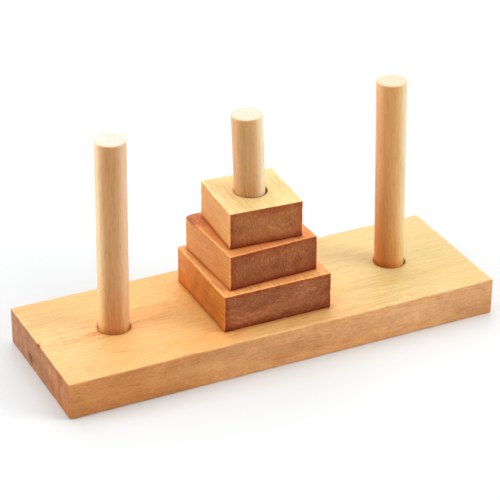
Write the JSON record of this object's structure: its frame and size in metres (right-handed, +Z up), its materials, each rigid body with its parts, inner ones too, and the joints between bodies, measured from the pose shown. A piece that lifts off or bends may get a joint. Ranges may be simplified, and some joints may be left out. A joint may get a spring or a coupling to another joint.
{
  "type": "tower of hanoi puzzle",
  "caption": "Wooden tower of hanoi puzzle: a plain rectangular board, upright dowel pegs in loose sockets and square blocks with round holes stacked on the middle peg.",
  "frame": {"origin": "middle of the board's underside", "axes": "+X along the row of pegs to the right, -Y towards the player, +Z up through the pegs"},
  "size_m": [0.18, 0.0612, 0.094],
  "materials": {
    "board_wood": "sanded, unvarnished",
    "peg_wood": "sanded, unvarnished",
    "large_block_wood": "sanded, unvarnished",
    "medium_block_wood": "sanded, unvarnished",
    "small_block_wood": "sanded, unvarnished"
  },
  "bodies": {
    "board": {"base_board": "board_wood"},
    "left_peg": {"left_peg": "peg_wood"},
    "middle_peg": {"middle_peg": "peg_wood"},
    "right_peg": {"right_peg": "peg_wood"},
    "large_block": {"large_block": "large_block_wood"},
    "medium_block": {"medium_block": "medium_block_wood"},
    "small_block": {"small_block": "small_block_wood"}
  },
  "joints": [
    {"name": "left_peg_pull", "type": "slide", "parent": "board", "child": "left_peg", "axis": [0.0087, -0.0052, 0.9999], "range_m": [0, 0.03]},
    {"name": "middle_peg_pull", "type": "slide", "parent": "board", "child": "middle_peg", "axis": [-0.0384, 0.0052, 0.9992], "range_m": [0, 0.065]},
    {"name": "right_peg_pull", "type": "slide", "parent": "board", "child": "right_peg", "axis": [-0.014, 0.0175, 0.9998], "range_m": [0, 0.03]},
    {"name": "large_block_lift", "type": "slide", "parent": "board", "child": "large_block", "axis": [-0.0384, 0.0052, 0.9992], "range_m": [0, 0.085]},
    {"name": "medium_block_lift", "type": "slide", "parent": "large_block", "child": "medium_block", "axis": [-0.0384, 0.0052, 0.9992], "range_m": [0, 0.07]},
    {"name": "small_block_lift", "type": "slide", "parent": "medium_block", "child": "small_block", "axis": [-0.0384, 0.0052, 0.9992], "range_m": [0, 0.055]}
  ]
}
